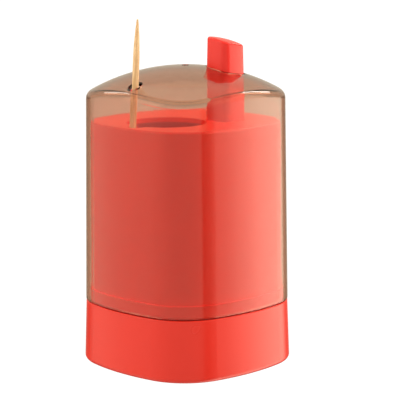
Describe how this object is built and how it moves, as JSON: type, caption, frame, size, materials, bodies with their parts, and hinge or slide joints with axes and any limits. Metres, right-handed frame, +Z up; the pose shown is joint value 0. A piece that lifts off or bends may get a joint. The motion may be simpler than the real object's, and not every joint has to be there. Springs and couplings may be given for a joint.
{
  "type": "toothpick dispenser",
  "caption": "Push-button toothpick dispenser: rounded-square red base and hopper under a smoky clear dome, with a lever that raises a pick through a hole.",
  "frame": {"origin": "centre of the body's outline, on the surface it stands on", "axes": "+Z up; the body's flat sides face X and Y; the pick comes out on the -X side; the button is toward +X -Y"},
  "size_m": [0.0638, 0.0638, 0.1188],
  "materials": {
    "base_plastic": "moulded, satin gloss",
    "hopper_plastic": "moulded, satin",
    "button_plastic": "moulded, satin gloss",
    "plate_plastic": "moulded, matt",
    "frame_plastic": "moulded, matt",
    "lever_plastic": "natural acetal",
    "smoky_clear": "smoky clear moulded polystyrene, polished",
    "steel": "zinc plated",
    "spring_steel": "drawn wire",
    "rubber": "soft matt pad",
    "pick_wood": "plain birch, unfinished"
  },
  "bodies": {
    "body": {"base_housing": "base_plastic", "base_plate": "plate_plastic", "base_screws": "steel", "foot_left": "rubber", "foot_right": "rubber", "foot_front": "rubber", "foot_back": "rubber", "hopper": "hopper_plastic", "magazine": "hopper_plastic", "well_floor": "frame_plastic", "chassis": "frame_plastic", "pivot_pin": "steel", "return_spring": "spring_steel"},
    "cover": {"cover": "smoky_clear"},
    "button": {"push_button": "button_plastic", "thrust_plug": "frame_plastic"},
    "lever": {"lever_arm": "lever_plastic"},
    "slider": {"lift_slider": "lever_plastic", "slider_pin": "steel"},
    "pick": {"toothpick": "pick_wood"}
  },
  "joints": [
    {"name": "button_press", "type": "slide", "parent": "body", "child": "button", "axis": [0, 0, -1], "range_m": [0, 0.0075], "stiffness_N_per_m": 200, "springref_m": -0.004, "deforming": ["return_spring"]},
    {"name": "lever_swing", "type": "hinge", "parent": "body", "child": "lever", "pos_m": [0.02076, -0.01183, 0.03101], "axis": [-0.2027, -0.9792, 0], "range_deg": [0, 36.2]},
    {"name": "slider_lift", "type": "slide", "parent": "body", "child": "slider", "axis": [0, 0, -1], "range_m": [0, 0.0298]},
    {"name": "cover_lift", "type": "slide", "parent": "body", "child": "cover", "axis": [0, 0, 1], "range_m": [0, 0.115]},
    {"name": "pick_pull", "type": "slide", "parent": "slider", "child": "pick", "axis": [0.0509, -0.0105, 0.9987], "range_m": [0, 0.07]}
  ],
  "couplings": [
    {"joint": "lever_swing", "follows": "button_press", "rad_per_m": 84.057},
    {"joint": "slider_lift", "follows": "button_press", "ratio": 3.9676}
  ]
}
